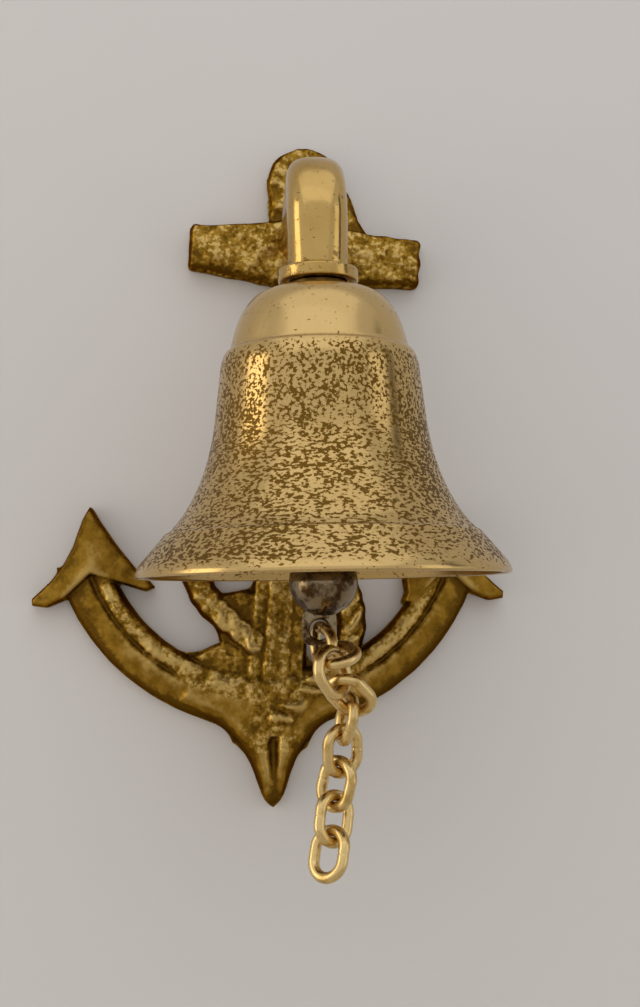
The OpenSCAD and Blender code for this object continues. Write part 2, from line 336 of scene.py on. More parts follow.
def bell_brass():
    """Turned brass with a mottled tarnish: islands drawn out along the turning, few on the crown and lip."""
    s = Shader("bell_brass", (0.62, 0.46, 0.22), 0.27)
    z = s.axis(2)
    round_spots = s.noise(1420, 2.0, 0.55, vector=s.scaled(1.0, 1.0, 1.05))
    long_spots = s.noise(1380, 2.0, 0.55, vector=s.scaled(0.72, 0.72, 1.45))
    zone = s.ramp(s.plus(z, s.times(s.noise(90, 2, 0.5), 0.02)), -0.067, -0.053)
    fine = s.plus(s.times(round_spots, zone),
                  s.times(long_spots, s.minus(1.0, zone)))
    cluster = s.noise(250, 2.0, 0.5)
    patch = s.noise(55, 1.0, 0.5)
    up = s.ramp(z, -0.0545, -0.0510, 0.0, 1.0)
    lip = s.ramp(z, -0.0972, -0.0945, 1.0, 0.0)
    level = s.plus(fine, s.times(s.minus(cluster, 0.5), 0.22))
    level = s.plus(level, s.times(s.minus(patch, 0.5), 0.16))
    level = s.minus(level, s.times(up, 0.19))
    level = s.minus(level, s.times(lip, 0.16))
    spot = s.ramp(level, 0.505, 0.535)
    halo = s.ramp(level, 0.40, 0.55)
    tone = s.mix(s.noise(35, 3, 0.5), (0.53, 0.365, 0.142), (0.61, 0.435, 0.19))
    tone = s.mix(halo, tone, (0.50, 0.33, 0.115))
    s.feed("Base Color", s.mix(spot, tone, (0.155, 0.084, 0.013)))
    sheen = s.times(s.noise(300, 3), 0.08)
    s.feed("Roughness", s.plus(s.ramp(spot, 0, 1, 0.17, 0.44), sheen))
    rings = s.noise(40, 2, 0.5, vector=s.scaled(0.6, 0.6, 60))
    s.bump(s.plus(s.times(rings, 0.2), s.times(s.minus(1.0, spot), 0.6)), 0.00005, 0.5)
    return s.mat


print("bell brass written")

# %% [markdown]
# The arm and collar are polished, so small pits and clouds of tarnish are all that shows. The washers get a
# dark, dull brass over a mottled oxide, and its darkness is painted shade for their place under the collar
# and inside the bell.

# %% Polished and dull brass


def polished_brass():
    """The arm and collar: polished, with faint pits, rough-cast patches and a warm tarnish in broad clouds.
    """
    s = Shader("polished_brass", (0.58, 0.42, 0.18), 0.27)
    pits = s.ramp(s.noise(1500, 2, 0.6), 0.67, 0.71)
    cloud = s.ramp(s.noise(75, 4, 0.6), 0.35, 0.68)
    skin = s.plus(s.noise(420, 5, 0.65), s.times(s.noise(60, 2, 0.5), 0.55))
    rough_cast = s.ramp(skin, 0.93, 0.98)
    tone = s.mix(cloud, (0.56, 0.38, 0.135), (0.47, 0.30, 0.085))
    tone = s.mix(rough_cast, tone, (0.30, 0.19, 0.055))
    s.feed("Base Color", s.mix(pits, tone, (0.14, 0.08, 0.02)))
    s.feed("Roughness", s.plus(s.ramp(cloud, 0, 1, 0.16, 0.25), s.times(rough_cast, 0.2)))
    dents = s.times(s.plus(pits, rough_cast), -0.5)
    s.bump(s.plus(s.noise(230, 4, 0.5), dents), 0.0001, 0.5)
    return s.mat


def dark_brass():
    """The washers: dull brown brass with a mottled oxide, darkened as painted shade for their place under the
    collar and inside the bell.
    """
    s = Shader("dark_brass", (0.20, 0.125, 0.04), 0.42)
    # both mixed colours are kept dark: painted shade for the crease under the collar
    s.feed("Base Color", s.mix(s.ramp(s.noise(420, 4), 0.4, 0.6), (0.11, 0.062, 0.014), (0.20, 0.125, 0.035)))
    s.bump(s.noise(900, 3), 0.0001, 0.4)
    return s.mat


print("polished and dull brass written")

# %% [markdown]
# Steel is grey metal that browns in patches. The chain is plated brass wire: brighter than the bell, and
# browned a little.

# %% Steel and chain


def plain_steel():
    """Nut, eye and screw: dull drawn steel with a brown bloom."""
    s = Shader("plain_steel", (0.40, 0.38, 0.35), 0.38)
    bloom = s.ramp(s.noise(260, 4, 0.6), 0.45, 0.7)
    s.feed("Base Color", s.mix(bloom, (0.42, 0.40, 0.37), (0.20, 0.145, 0.09)))
    s.feed("Roughness", s.ramp(s.noise(500, 3), 0.3, 0.7, 0.30, 0.48))
    s.bump(s.noise(1400, 3), 0.00006, 0.4)
    return s.mat


def clapper_steel():
    """The ball, rod and tab: grey plate with patchy dark brown stains laid by noise, rougher where brown."""
    s = Shader("clapper_steel", (0.30, 0.26, 0.20), 0.25)
    stain = s.ramp(s.noise(230, 5, 0.65), 0.44, 0.60)
    s.feed("Base Color", s.mix(stain, (0.25, 0.19, 0.115), (0.055, 0.028, 0.010)))
    s.feed("Roughness", s.ramp(stain, 0, 1, 0.20, 0.36))
    s.bump(s.noise(700, 4, 0.6), 0.00010, 0.5)
    return s.mat


def chain_brass():
    """Bright plated wire with fine drawing marks and a little brown in patches."""
    s = Shader("chain_brass", (0.74, 0.57, 0.30), 0.28)
    brown = s.ramp(s.noise(260, 4, 0.6), 0.48, 0.72)
    s.feed("Base Color", s.mix(brown, (0.72, 0.53, 0.235), (0.48, 0.32, 0.10)))
    s.feed("Roughness", s.ramp(s.noise(700, 3), 0.3, 0.7, 0.22, 0.34))
    s.bump(s.noise(600, 3), 0.00008, 0.4)
    return s.mat


CAST, BELL, POLISHED = cast_brass(), bell_brass(), polished_brass()
WASHER_SHADE, STEEL, CLAPPER, CHAIN = dark_brass(), plain_steel(), clapper_steel(), chain_brass()
print("materials:", len(bpy.data.materials))

# %% [markdown]
# ## The anchor plaque
#
# The anchor is a flat-backed sand casting. Its outline is a signed distance: each member (ring, stock, shank,
# arms, flukes, crown, rope) is a short formula, and the smallest distance wins. Its front is a height over
# the wall, and the tallest member wins, which leaves the real steps between them. The outline's grid points
# are slid onto the exact edge, so the wall of the casting is clean.

# %% Places and outlines of the anchor
AX, AZ = -9.8, -80.0        # centre of the arms' circle
RI, RO = 40.2, 52.5         # inner and outer radius of the arms
CROWN_TIP = -151.2
SHANK_FOOT, SHANK_RISE = -131.0, 113.0
STOCK_Z, STOCK_HALF = -17.6, 28.4
LEAN = math.atan2(-AX, 125.0)
HOLE_R, RING_R = 2.55, 9.0
LOWEST, HIGHEST = 1.6, 7.3  # least and greatest height of the front over the wall
ROPE_LOW = spline([(-13.5, -135.4), (-5, -127.5), (3, -120.5), (8.6, -113), (9.6, -105), (6, -95), (-2, -86),
                   (-12, -81), (-22, -83.5), (-27.4, -91), (-25.6, -100.5), (-19, -107.5), (-14, -112)], 240)
ROPE_HIGH = spline([(4.5, -27), (8, -38), (6, -50), (-1, -61), (-8, -71), (-12, -81)], 120)
WEB = np.array([(-24, -102), (-22, -100.4), (-16.5, -99.6), (-12, -100.5), (-12, -121), (-24, -121),
                (-29, -115), (-22, -112)])
NECK = np.array([(-8.9, 1), (-8.7, -8), (-9.6, -12.5), (15.5, -13.5), (13.2, -9), (11.6, -4), (8.9, 1)])
FLUKE = np.array([(42.8, -79), (44.6, -82.2), (46.9, -88.7), (49.4, -93.2), (52.4, -97), (56.6, -100.9),
                  (56.5, -102.5), (53, -103), (48.5, -101.2), (42.2, -95.6)])


print("outline lists:", len(ROPE_LOW) + len(ROPE_HIGH), "rope points")

# %% Distances to outlines and paths


def polygon_sd(x, z, poly):
    """Signed distance to a closed outline: nearest edge, negative inside by the crossing rule."""
    best = np.full(x.shape, 1e9)
    inside = np.zeros(x.shape, bool)
    for (ax, az), (bx, bz) in zip(poly, np.roll(poly, -1, 0)):
        ex, ez = bx - ax, bz - az
        t = np.clip(((x - ax) * ex + (z - az) * ez) / (ex * ex + ez * ez), 0, 1)
        best = np.minimum(best, (x - ax - t * ex) ** 2 + (z - az - t * ez) ** 2)
        hit = ((az <= z) & (bz > z)) | ((bz <= z) & (az > z))
        side = ex * (z - az) - (x - ax) * ez
        inside ^= hit & (np.where(bz > az, side, -side) > 0)
    return np.where(inside, -1, 1) * np.sqrt(best)


def path_field(x, z, path):
    """Distance to a path, side of it, and length along it, from the nearest of its short segments."""
    best = np.full(x.shape, 1e9)
    side = np.zeros(x.shape)
    along = np.zeros(x.shape)
    s0 = 0.0
    for a, b in zip(path[:-1], path[1:]):
        e = b - a
        n = math.hypot(*e)
        t = np.clip(((x - a[0]) * e[0] + (z - a[1]) * e[1]) / n**2, 0, 1)
        d = np.hypot(x - a[0] - t * e[0], z - a[1] - t * e[1])
        new = d < best
        best = np.where(new, d, best)
        side = np.where(new, (e[0] * (z - a[1]) - e[1] * (x - a[0])) / n, side)
        along = np.where(new, s0 + t * n, along)
        s0 += n
    return best, side, along


def soft_min(a, b, k):
    """The smaller of two distances with a fillet of about k where they meet."""
    h = np.clip(0.5 + 0.5 * (b - a) / k, 0, 1)
    return b + (a - b) * h - k * h * (1 - h)


print("distance fields ready")

# %% Outlines of crown and fluke


def crown_poly():
    """The crown's outline: two hollow flanks that meet in the tip."""
    right = np.array([(1.0, -150.4), (1.9, -149.4), (2.7, -148), (3.5, -145.6), (4.35, -143.1), (5.3, -140.7),
                      (6.6, -138.3), (8.3, -135.9), (10.4, -133.4), (13.2, -131), (18.2, -128.6), (23, -126),
                      (22, -118)])
    return np.vstack([[(0, CROWN_TIP)], right, (right * [-1, 1])[::-1]])


def fluke_poly(side):
    """One fluke about the anchor's axis; the two inner barbs aren't alike in the casting."""
    if side < 0:
        barb = [(29.6, -99.6), (27.4, -98.6), (28.8, -96.9)]
    else:
        barb = [(34.4, -103.6), (31.6, -103.4), (32.6, -100.6)]
    inner = [(31.8, -94.2), (36, -89), (40.4, -82.6), (42.2, -79.5)]
    return np.vstack([FLUKE, barb, inner])


print("crown points:", len(crown_poly()))

# %% [markdown]
# Each member now gets its own distance and its own height. A ridge is a square root that falls off from a
# centre line, a groove is a bell curve taken away, and a step is a clamped ramp.

# %% Arms, crown and flukes


def arms_member(u, z):
    """Ring section: outer bevel, a groove, and a narrow round band along the inner edge."""
    rho = np.hypot(u, z - AZ)
    d = np.maximum(np.abs(rho - (RI + RO) / 2) - (RO - RI) / 2, z + 93.5)
    t = np.clip((RO - rho) / 6.6, 0, 1)
    h = 2.3 + 3.0 * np.sqrt(t)
    band = np.clip(1 - ((rho - 42.8) / 2.3) ** 2, 0, 1)
    centre = np.clip((24 - np.abs(u)) / 9, 0, 1)
    inner = 4.4 + 1.3 * np.sqrt(band)
    h = inner + (h - inner) * np.clip((rho - 44.6) / 1.3, 0, 1)
    h -= 0.5 * np.exp(-(((rho - 45.4) / 0.75) ** 2)) * (1 - centre)
    h = h * (1 - centre) + np.where(rho < 46.5, 4.9, h) * centre
    return d, h


def crown_member(u, z):
    """Two round ridges with a groove between them, height by the square root of the depth inside."""
    d = polygon_sd(u, z, crown_poly())
    low = np.clip((-131.5 - z) / 5, 0, 1)
    h = 2.4 + 3.1 * np.sqrt(np.clip(-d / 3.2, 0, 1))
    h -= low * 1.7 * np.exp(-(((u - 0.25) / 1.25) ** 2))
    return d, h


def fluke_member(u, z, side):
    """Two facets that fall away from a ridge, lower toward the tip."""
    us = u * side
    d = polygon_sd(us, z, fluke_poly(side))
    ridge = np.abs(us - 42.3 - 0.02 * (z + 90))
    h = 7.1 - 0.34 * (np.hypot(ridge, 1.3) - 1.3) + 0.012 * ridge**2
    h -= 0.9 * np.exp(-(((z + 79) / 5) ** 2))
    return d, h


print("arms, crown and flukes written")

# %% Shank, stock, ring and rope


def shank_member(x, z):
    """Leaning bar: flat edge strips, a groove each side, and a raised middle."""
    e = np.array([-AX, SHANK_RISE]) / math.hypot(AX, SHANK_RISE)
    along = (x - AX) * e[0] + (z - SHANK_FOOT) * e[1]
    off = (x - AX) * e[1] - (z - SHANK_FOOT) * e[0]
    width = 7.3 - 0.014 * along
    d = np.maximum(np.abs(off) - width, np.abs(along - 56) - 60)
    h = 4.9 + 0.5 * (np.abs(off) < width - 4.1)
    h = h - 0.35 * np.exp(-(((np.abs(off) - (width - 4.0)) / 0.8) ** 2))
    return d, h


def stock_member(x, z):
    """Rounded bar square to the shank, swelling where it crosses it and uneven along its length."""
    c, s = math.cos(LEAN), math.sin(LEAN)
    corner = 1.4
    p = x * c - (z - STOCK_Z) * s
    q = x * s + (z - STOCK_Z) * c
    half = 5.3 + 3.1 * np.exp(-((p / 18) ** 2)) + 0.4 * lattice_noise(p, q * 0, 5.5, 12)
    qx, qz = np.abs(p) - STOCK_HALF + corner, np.abs(q + 0.3) - half + corner
    d = np.hypot(np.maximum(qx, 0), np.maximum(qz, 0)) + np.minimum(np.maximum(qx, qz), 0) - corner
    h = 4.5 + 1.0 * np.sqrt(np.clip(1 - (q / (half + 0.6)) ** 2, 0, 1))
    return d, h + 0.35 * lattice_noise(x, z, 4.4, 14)


def ring_member(x, z):
    """Round ring with its neck down to the stock, highest on a circle between hole and edge."""
    r = np.hypot(x, z)
    d = soft_min(r - RING_R, polygon_sd(x, z, NECK), 1.2)
    h = 3.7 + 0.9 * np.sqrt(np.clip(1 - ((r - 6.0) / 3.6) ** 2, 0, 1))
    return d, h


def rope_member(x, z, path, r0):
    """Round section about the path, cut into strands by a cosine that slants across it."""
    dist, side, along = path_field(x, z, path)
    h = 3.7 + 2.9 * np.sqrt(np.clip(1 - (dist / (r0 + 0.1)) ** 2, 0, 1))
    wave = np.cos(2 * np.pi * (along + 0.55 * side) / 4.1 + 2.4 * lattice_noise(x, z, 5.0, 9))
    h = h + (0.34 + 0.26 * lattice_noise(x, z, 4.2, 10)) * wave - 0.25
    h = 3.4 + (h - 3.4) * np.clip(along / 6 - 0.1, 0, 1)
    return dist - r0 - 0.12 * wave, h


def members(x, z):
    """For each member of the casting: its distance field and its height over the wall."""
    u = x - AX
    return {
        "arms": arms_member(u, z),
        "crown": crown_member(u, z),
        "fluke_l": fluke_member(u, z, -1),
        "fluke_r": fluke_member(u, z, 1),
        "shank": shank_member(x, z),
        # metal left between the rope's bight and the shank
        "web": (polygon_sd(x, z, WEB), np.full(x.shape, 4.1)),
        "stock": stock_member(x, z),
        "ring": ring_member(x, z),
        "rope_low": rope_member(x, z, ROPE_LOW, 3.5),
        "rope_high": rope_member(x, z, ROPE_HIGH, 3.4),
    }


print("shank, stock, ring and rope written")

# %% [markdown]
# The members are joined with small fillets, as molten metal joins them, and every edge is rounded down
# toward the wall. Noise goes on last, and the smooth places get little of it.

# %% One casting from its members


def rounded(depth):
    """A quarter circle from 0 at the edge to 1 at full depth."""
    return np.sqrt(np.clip(1 - (1 - np.clip(depth, 0, 1)) ** 2, 0, 1))


def anchor_fields(x, z):
    """Outline distance and front height of the whole casting, with the sand's unevenness in both."""
    m = members(x, z)
    body = soft_min(m["arms"][0], m["crown"][0], 1.5)
    body = soft_min(body, m["shank"][0], 4.5)
    body = soft_min(body, m["web"][0], 3.5)
    body = soft_min(body, m["stock"][0], 1.5)
    body = soft_min(body, m["ring"][0], 0.8)
    for key in ("fluke_l", "fluke_r", "rope_low", "rope_high"):
        body = soft_min(body, m[key][0], 0.9)
    lumpy = 0.06 + 0.22 * np.clip((z + 30) / 6, 0, 1)
    body = body + lumpy * (lattice_noise(x, z, 2.9, 5) + 0.4 * lattice_noise(x, z, 1.2, 6))
    body = np.maximum(body, HOLE_R - np.hypot(x, z))
    height = np.full(x.shape, 1.0)
    for key, (d, h) in m.items():
        edge = 0.8 if key.startswith("fluke") else 1.25
        height = np.maximum(height, np.where(d < 0, 1.4 + (h - 1.4) * rounded(-d / edge), 0))
    # the webs between members stand at the shank's ground level
    height = np.maximum(height, 3.2 * np.clip(-body / 1.6, 0, 1))
    # the outer bands of the arms, the crown's flanks and the flukes came out of the sand smooth
    calm = np.clip((np.hypot(x - AX, z - AZ) - 45.3) / 1.6, 0, 1)
    calm = calm * np.clip((np.abs(x - AX) - 3) / 6 + (z < -138), 0, 1)
    calm = calm * np.clip((-93 - z) / 3, 0, 1)
    for k in ("fluke_l", "fluke_r"):
        calm = np.maximum(calm, np.clip(0.5 - m[k][0] / 0.8, 0, 1))
    rough = 1 - 0.8 * calm
    height = height + rough * (0.26 * lattice_noise(x, z, 3.1, 1) + 0.20 * lattice_noise(x, z, 1.3, 2)
                               + 0.10 * lattice_noise(x, z, 0.62, 3))
    height *= 0.60 + 0.40 * rounded(-body / 0.9)
    return body, np.clip(height, LOWEST, HIGHEST), calm


def blur(a, n):
    """A box blur repeated three times, along both directions of the grid."""
    for _ in range(3):
        for ax in (0, 1):
            pad = [(n + 1, n) if i == ax else (0, 0) for i in (0, 1)]
            c = np.cumsum(np.pad(a, pad, mode="edge"), axis=ax)
            hi = np.take(c, np.arange(2 * n + 1, c.shape[ax]), axis=ax)
            lo = np.take(c, np.arange(0, c.shape[ax] - 2 * n - 1), axis=ax)
            a = (hi - lo) / (2 * n + 1)
    return a


print("anchor field ready")

# %% [markdown]
# The field becomes a mesh: quads are kept where the field is metal, the points on their rim are slid along
# the field's slope onto the exact edge, and walls join the front to a flat back.

# %% The casting's mesh
CELL = 0.38
EDGE_HEIGHT = 2.2
# relief held by the casting's rim, walls and back: high enough to paint them pale, a painted light that
# offsets the dark glancing reflections at the edges
PAINTED_EDGE_LIGHT = 0.68


def metal_quads(F):
    """Quads of the grid that lie in metal, and the edges round them that only one quad has."""
    ok = F < 0.5 * CELL
    q = ok[:-1, :-1] & ok[1:, :-1] & ok[1:, 1:] & ok[:-1, 1:]
    q &= (F[:-1, :-1] + F[1:, :-1] + F[1:, 1:] + F[:-1, 1:]) / 4 < 0.25 * CELL
    index = np.arange(F.size).reshape(F.shape)
    quads = np.stack([index[:-1, :-1], index[1:, :-1], index[1:, 1:], index[:-1, 1:]], -1)[q]
    e = np.concatenate([quads[:, [0, 1]], quads[:, [1, 2]], quads[:, [2, 3]], quads[:, [3, 0]]])
    rim = e[~np.isin(e[:, 0] * F.size + e[:, 1], e[:, 1] * F.size + e[:, 0])]
    return ok, quads, rim


def slide(F, edge, slope, limit):
    """Step that takes an edge point down the field's slope to zero: field over squared slope, limited."""
    k = np.where(edge, F / np.maximum(slope[0] ** 2 + slope[1] ** 2, 0.3), 0)
    k = np.clip(k, -limit * CELL, limit * CELL)
    return k * slope[0], k * slope[1]


def relief_and_edge_light(F, H, ok):
    """How far each point stands above its near and far surroundings, fading at the edge to a raised value
    that paints the rim pale, a painted light.
    """
    solid = np.where(ok & (F < -0.9), 1.0, 1e-3)
    near_mean, far_mean = (blur(H * solid, n) / np.maximum(blur(solid, n), 1e-4) for n in (3, 10))
    relief = 0.5 + 0.50 * (H - near_mean) + 0.16 * (H - far_mean)
    # toward the rim the relief fades to that raised value, which paints the edge pale as painted light
    relief = PAINTED_EDGE_LIGHT + (relief - PAINTED_EDGE_LIGHT) * np.clip(-F / 1.0, 0, 1)
    return np.clip(relief, 0, 1)


def anchor_plaque():
    """The casting: front points at (x, -height, z), the same points on the wall, and walls between them."""
    gx, gz = np.arange(-68.2, 49, CELL), np.arange(-152.2, 10.4, CELL)
    X, Z = np.meshgrid(gx, gz, indexing="ij")
    F, _, _ = anchor_fields(X, Z)
    slope = np.gradient(F, CELL)
    ok, quads, rim = metal_quads(F)
    edge = np.zeros(X.size, bool)
    edge[rim.ravel()] = True
    edge = edge.reshape(X.shape)
    dx, dz = slide(F, edge, slope, 0.8)
    X2, Z2 = X - dx, Z - dz
    F2, H, calm = anchor_fields(X2, Z2)
    dx, dz = slide(F2, edge, slope, 0.3)
    X2, Z2 = X2 - dx, Z2 - dz
    H = np.where(edge, EDGE_HEIGHT, H)
    used, flat = np.unique(quads, return_inverse=True)
    place = np.zeros(X.size, int)
    place[used] = np.arange(len(used))
    quads, rim = flat.reshape(-1, 4), place[rim]
    x, z, h = X2.ravel()[used], Z2.ravel()[used], H.ravel()[used]
    n = len(used)
    points = np.vstack([np.c_[x, -h, z], np.c_[x, np.zeros(n), z]])
    walls = np.c_[rim[:, 1], rim[:, 0], rim[:, 0] + n, rim[:, 1] + n]
    faces = np.vstack([quads, quads[:, ::-1] + n, walls])
    ob = make_mesh("anchor_casting", points, faces, CAST, "frame", ["anchor_plaque"])
    # a flat back keeps the walls' shading from leaning in behind the casting
    smooth = np.ones(len(ob.data.polygons), bool)
    smooth[len(quads):2 * len(quads)] = False
    ob.data.polygons.foreach_set("use_smooth", smooth)
    relief = relief_and_edge_light(F, H, ok).ravel()[used]
    # the back and the walls take the same raised relief as the rim, a painted light that paints them pale
    surface = {"relief": np.r_[relief, np.full(n, PAINTED_EDGE_LIGHT)], "calm": np.tile(calm.ravel()[used], 2)}
    for name, values in surface.items():
        att = ob.data.attributes.new(name, "FLOAT", "POINT")
        att.data.foreach_set("value", values.astype(np.float32))
    return ob


plaque = anchor_plaque()
print("anchor:", len(plaque.data.polygons), "faces")

# %% [markdown]
# ## The bracket arm and its collar
#
# A round cast bar, turned and polished, leaves the stock square to the wall and bends down through a quarter
# circle. Real ones are poured in one piece and filed up, so the section isn't perfectly even: it is a touch
# fuller at the foot and flatter on the top of the bend.

# %% Bracket arm
ARM_Z, ARM_R, BEND = -14.5, 6.22, 9.0
ARM_COLS = 96
COLLAR_TOP = -34.6


def arm_path(n=120):
    """Centreline: straight out from the wall, a quarter circle, then straight down to the collar."""
    a = np.linspace(0, np.pi / 2, 40)
    out = np.c_[np.zeros(30), np.linspace(-4.7, AXIS_Y + BEND, 30, endpoint=False), np.full(30, ARM_Z)]
    bend = np.c_[0 * a, AXIS_Y + BEND - BEND * np.sin(a), ARM_Z - BEND + BEND * np.cos(a)]
    down = np.c_[np.zeros(24), np.full(24, AXIS_Y), np.linspace(ARM_Z - BEND, COLLAR_TOP, 25)[1:]]
    return np.vstack([out, bend, down])


path = arm_path()
seg = np.r_[0, np.cumsum(np.linalg.norm(np.diff(path, axis=0), axis=1))]
# fuller at the foot, uneven round the bend, and eased at the collar
radius = ARM_R + 0.10 * np.sin(seg / 7.0) * np.exp(-(((seg - 45) / 18) ** 2))
radius += 0.9 * np.exp(-((seg / 1.6) ** 2))
radius -= 0.35 * np.exp(-(((seg[-1] - seg) / 0.35) ** 2))
square = 2 + 0.95 * np.exp(-(((seg - 41) / 9) ** 2)) + 0.25 * np.exp(-(((seg - 55) / 8) ** 2))
verts = sweep(path, radius, ARM_COLS, start=(1, 0, 0), square=square)
verts, ends = capped(verts, len(path), ARM_COLS)
arm = make_mesh("bracket_arm_bar", verts, grid_quads(len(path), ARM_COLS), POLISHED, "frame", ["bracket_arm"],
                tris=ends)
print("arm:", len(arm.data.polygons), "faces")

# %% Collar and washers
COLLAR_T, SEAT_T, WASHER_T = 2.7, 1.5, 0.8
WASHER_Z = -41.1


def rounded_ring(r_in, r_out, h, edge, n=7):
    """Closed profile of a flat ring with its outer edges rounded."""
    a = np.linspace(0, np.pi / 2, n)
    low = np.c_[r_out - edge + edge * np.sin(a), edge - edge * np.cos(a)]
    top = np.c_[r_out - edge + edge * np.cos(a), h - edge + edge * np.sin(a)]
    return np.vstack([[(r_in, 0.0)], low, top, [(r_in, h)]])


def turned(name, profile, base_z, mat, nodes, body="frame", segs=128):
    """A turned piece on the hanging axis from a closed profile."""
    v = lathe(profile, base_z, segs)
    return make_mesh(name, v, grid_quads(len(profile), segs, wrap_rows=True), mat, body, nodes)


turned("collar_disc", rounded_ring(2.0, 8.3, COLLAR_T, 0.45), COLLAR_TOP - COLLAR_T,
       POLISHED, ["collar"])
turned("crown_washer_disc", rounded_ring(2.0, 6.0, SEAT_T, 0.3), COLLAR_TOP - COLLAR_T - SEAT_T,
       WASHER_SHADE, ["crown_washer"])
turned("inner_washer_disc", rounded_ring(2.0, 5.0, WASHER_T, 0.2), WASHER_Z,
       WASHER_SHADE, ["inner_washer"])
print("collar and two washers made")

# %% [markdown]
# ## The bell
#
# The shell was cast thick and turned on a lathe, inside and out. Its outline is two smooth curves that meet
# in small turned steps: one at the shoulder, and one above the lip. The steps matter, because they are where
# the light breaks.

# %% The bell's profile, as radius and height over the rim
RIM_Z = -97.8
BELL_COLS = 240
crown_line = spline([(2.0, 58.7), (5.0, 58.7), (8.0, 59.0), (10.6, 58.5), (13.0, 57.3), (15.0, 55.2),
                     (16.5, 52.6), (17.6, 49.4), (18.4, 46.4)], 60)
waist_line = spline([(19.6, 45.2), (20.2, 43.4), (20.6, 40.6), (21.1, 36.2), (21.8, 30.4), (22.95, 24.7),
                     (24.9, 18.9), (27.3, 14.1), (29.6, 10.8), (31.2, 9.1)], 130)
flare_line = spline([(32.5, 8.1), (34.3, 6.0), (36.2, 3.7), (37.4, 2.1), (37.9, 1.0)], 36)
inner_line = spline([(36.9, 0.15), (35.4, 2.1), (33.0, 4.8), (30.6, 7.0), (28.3, 9.6), (25.8, 13.4),
                     (23.4, 18.5), (21.45, 24.4), (20.3, 30.4), (19.6, 36.2), (19.1, 40.4), (18.3, 43.2),
                     (17.0, 45.4), (16.0, 49.0), (14.3, 53.0), (12.0, 55.4), (9.0, 56.9),
                     (5.0, 57.3), (2.0, 57.3)], 150)
shoulder = np.array([(18.6, 46.0), (19.0, 45.85), (19.35, 45.6)])
step = np.array([(31.35, 8.95), (31.9, 8.8), (32.25, 8.5)])
lip = np.array([(38.0, 0.55), (37.9, 0.15), (37.5, 0.0), (37.15, 0.02)])
profile = np.vstack([crown_line, shoulder, waist_line, step, flare_line, lip, inner_line])
print("profile:", len(profile), "points")

# %% The turned bell
bell_points = lathe(profile, RIM_Z, BELL_COLS, wobble=0.0009)
bell_quads = grid_quads(len(profile), BELL_COLS, wrap_rows=True)[:, ::-1]
bell = make_mesh("bell_shell", bell_points, bell_quads, BELL, "frame", ["bell"])
print("bell:", len(bell.data.polygons), "faces")

# %% [markdown]
# ## The clapper
#
# Stiff wire is bent into a loop that hangs in the eye under the crown. The ball is threaded on, and the lower
# end is hammered flat and punched, to take the first link of the chain.

# %% The clapper's wire
BALL_Z = RIM_Z - 1.0
SWING_Z = -51.4
EYE_R, ROD_R, PLAY = 1.0, 1.3, 0.06
LOOP_TOP = SWING_Z + EYE_R + ROD_R + PLAY
LOOP_R = 3.0
WIRE_COLS = 32
TAB_X, TAB_Z, TAB_HOLE, TAB_COLS = -1.0, -108.5, 2.0, 128


def loop_and_rod():
    """Centreline of the wire: once round the loop from its closing point, then straight down to the ball."""
    a = np.linspace(np.radians(-84), np.radians(262), 90)
    cz = LOOP_TOP - LOOP_R
    ring = np.c_[LOOP_R * np.cos(a), np.full(90, AXIS_Y), cz + LOOP_R * np.sin(a)]
    rod = np.c_[np.zeros(70), np.full(70, AXIS_Y), np.linspace(cz - 3.2, BALL_Z - 7.5, 70)]
    return ring, rod


ring_line, rod_line = loop_and_rod()
v1, t1 = capped(sweep(ring_line, 1.29, WIRE_COLS), len(ring_line), WIRE_COLS)
rod_r = ROD_R * (1 - 0.04 * np.sin(np.linspace(0, 9, len(rod_line))))
rod_r[0] = 0.7
v2, t2 = capped(sweep(rod_line, np.minimum(rod_r, ROD_R), WIRE_COLS), len(rod_line), WIRE_COLS)
q1 = grid_quads(len(ring_line), WIRE_COLS)
q2 = grid_quads(len(rod_line), WIRE_COLS) + len(v1)
make_mesh("clapper_wire", np.vstack([v1, v2]), np.vstack([q1, q2]), CLAPPER, "clapper", ["clapper_rod"],
          tris=np.vstack([t1, t2 + len(v1)]))
print("clapper wire:", len(ring_line) + len(rod_line), "rings")

# %% The punched tab and the ball


def flat_tab():
    """Hammered end: rings run from the hole's wall out over the face, round the edge, and back."""
    a = np.linspace(0, 2 * np.pi, TAB_COLS, endpoint=False)
    dx, dz = np.cos(a), np.sin(a)
    n = 4.0
    half_w = 3.5
    up, down = 5.2, 3.2
    reach_z = np.where(dz > 0, up, down)
    size = (np.abs(dx / half_w) ** n + np.abs(dz / reach_z) ** n) ** (-1 / n)
    steps = [(0.0, 0.55), (0.05, 0.82), (0.16, 0.90), (0.5, 0.90), (0.86, 0.88), (0.96, 0.74), (1.0, 0.4)]
    rows = [(f, w) for f, w in steps] + [(f, -w) for f, w in steps[::-1]]
    pts = []
    for f, w in rows:
        rad = TAB_HOLE + (size - TAB_HOLE) * f
        dent = 0.05 * np.sin(3 * a + 5 * f) * (0.2 < f < 0.9)
        pts.append(np.c_[TAB_X + rad * dx, AXIS_Y - (w + dent * np.sign(w)), TAB_Z + rad * dz])
    return np.vstack(pts), len(rows)


tab_v, tab_rows = flat_tab()
tab_quads = grid_quads(tab_rows, TAB_COLS, wrap_rows=True)[:, ::-1]
make_mesh("clapper_tab", tab_v, tab_quads, CLAPPER, "clapper")

ang = np.linspace(0.19, np.pi - 0.19, 90)
BALL_R = 7.0
seam = 0.03 * np.exp(-(((ang - 1.57) / 0.02) ** 2))
ball_profile = np.c_[BALL_R * np.sin(ang) + seam, BALL_R * np.cos(ang)]
ball_profile = np.vstack([ball_profile, [(1.31, -6.6), (1.31, 6.6)]])[::-1]
turned("clapper_bead", ball_profile, BALL_Z, CLAPPER, ["clapper_ball"], "clapper")
print("tab and ball made")

